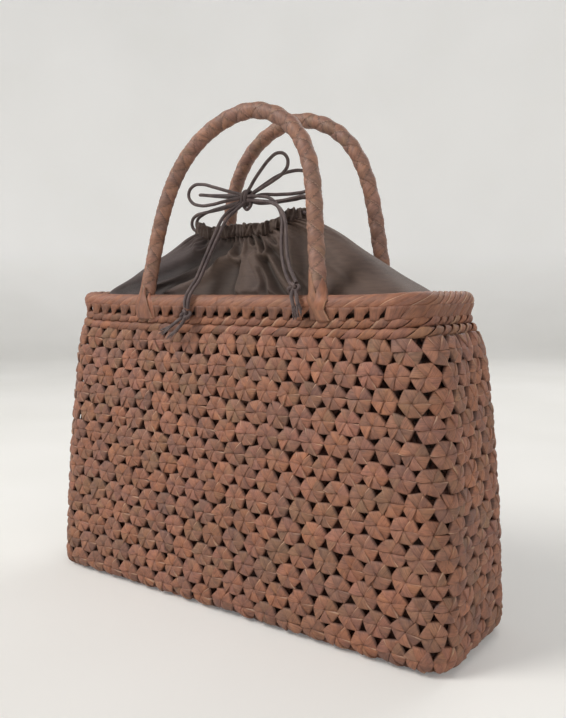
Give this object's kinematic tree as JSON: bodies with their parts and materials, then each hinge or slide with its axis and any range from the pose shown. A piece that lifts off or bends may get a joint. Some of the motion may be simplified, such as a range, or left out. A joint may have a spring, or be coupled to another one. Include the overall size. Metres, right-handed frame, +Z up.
{
  "type": "basket bag",
  "caption": "Oblong vine basket bag in flower weave with a twined band, a rolled rim, a pair of arched braided handles and a cloth pouch closed by drawcords.",
  "frame": {"origin": "middle of the base, on the surface that the bag stands on", "axes": "+Z up, +X along the bag's length, -Y towards the front"},
  "size_m": [0.3344, 0.1049, 0.3432],
  "materials": {
    "vine_flower": "matt woven vine bark",
    "vine_twined": "matt twined vine bark",
    "vine_wrap": "smooth satin vine bark",
    "vine_core": "rough vine core",
    "vine_braid": "satin braided vine bark",
    "pouch_cloth": "soft sheen cotton sateen",
    "drawcord": "satin round cord"
  },
  "bodies": {
    "basket": {"base_weave": "vine_flower", "turning_course": "vine_flower", "flower_course_01": "vine_flower", "flower_course_02": "vine_flower", "flower_course_03": "vine_flower", "flower_course_04": "vine_flower", "flower_course_05": "vine_flower", "flower_course_06": "vine_flower", "flower_course_07": "vine_flower", "flower_course_08": "vine_flower", "flower_course_09": "vine_flower", "flower_course_10": "vine_flower", "flower_course_11": "vine_flower", "flower_course_12": "vine_flower", "twining_lower": "vine_twined", "twining_upper": "vine_twined", "rim_lashing": "vine_twined", "rim_core": "vine_core", "rim_wrap": "vine_wrap", "front_left_foot_strip": "vine_braid", "front_right_foot_strip": "vine_braid", "rear_left_foot_strip": "vine_braid", "rear_right_foot_strip": "vine_braid", "lining_base": "pouch_cloth", "lining_walls": "pouch_cloth", "pouch_collar": "pouch_cloth", "neck_casing": "pouch_cloth", "casing_cord_left": "drawcord", "casing_cord_right": "drawcord", "cord_lead_left_1": "drawcord", "cord_lead_left_2": "drawcord", "cord_lead_right_1": "drawcord", "cord_lead_right_2": "drawcord", "bow_loop_left_1": "drawcord", "bow_loop_left_2": "drawcord", "bow_loop_right_1": "drawcord", "bow_loop_right_2": "drawcord", "cord_tail_left_1": "drawcord", "cord_tail_left_2": "drawcord", "cord_tail_right_1": "drawcord", "cord_tail_right_2": "drawcord", "bow_knot": "drawcord", "tail_knot_left": "drawcord", "tail_knot_right": "drawcord"},
    "front_handle": {"front_handle_core": "vine_core", "front_handle_braid": "vine_braid"},
    "rear_handle": {"rear_handle_core": "vine_core", "rear_handle_braid": "vine_braid"}
  },
  "joints": [
    {"name": "front_handle_tilt", "type": "hinge", "parent": "basket", "child": "front_handle", "pos_m": [0.003, -0.04012, 0.2143], "axis": [1, 0, 0], "range_deg": [-12, 14], "stiffness_Nm_per_rad": 1},
    {"name": "rear_handle_tilt", "type": "hinge", "parent": "basket", "child": "rear_handle", "pos_m": [0.0055, 0.04012, 0.2143], "axis": [-1, 0, 0], "range_deg": [-12, 14], "stiffness_Nm_per_rad": 1}
  ]
}
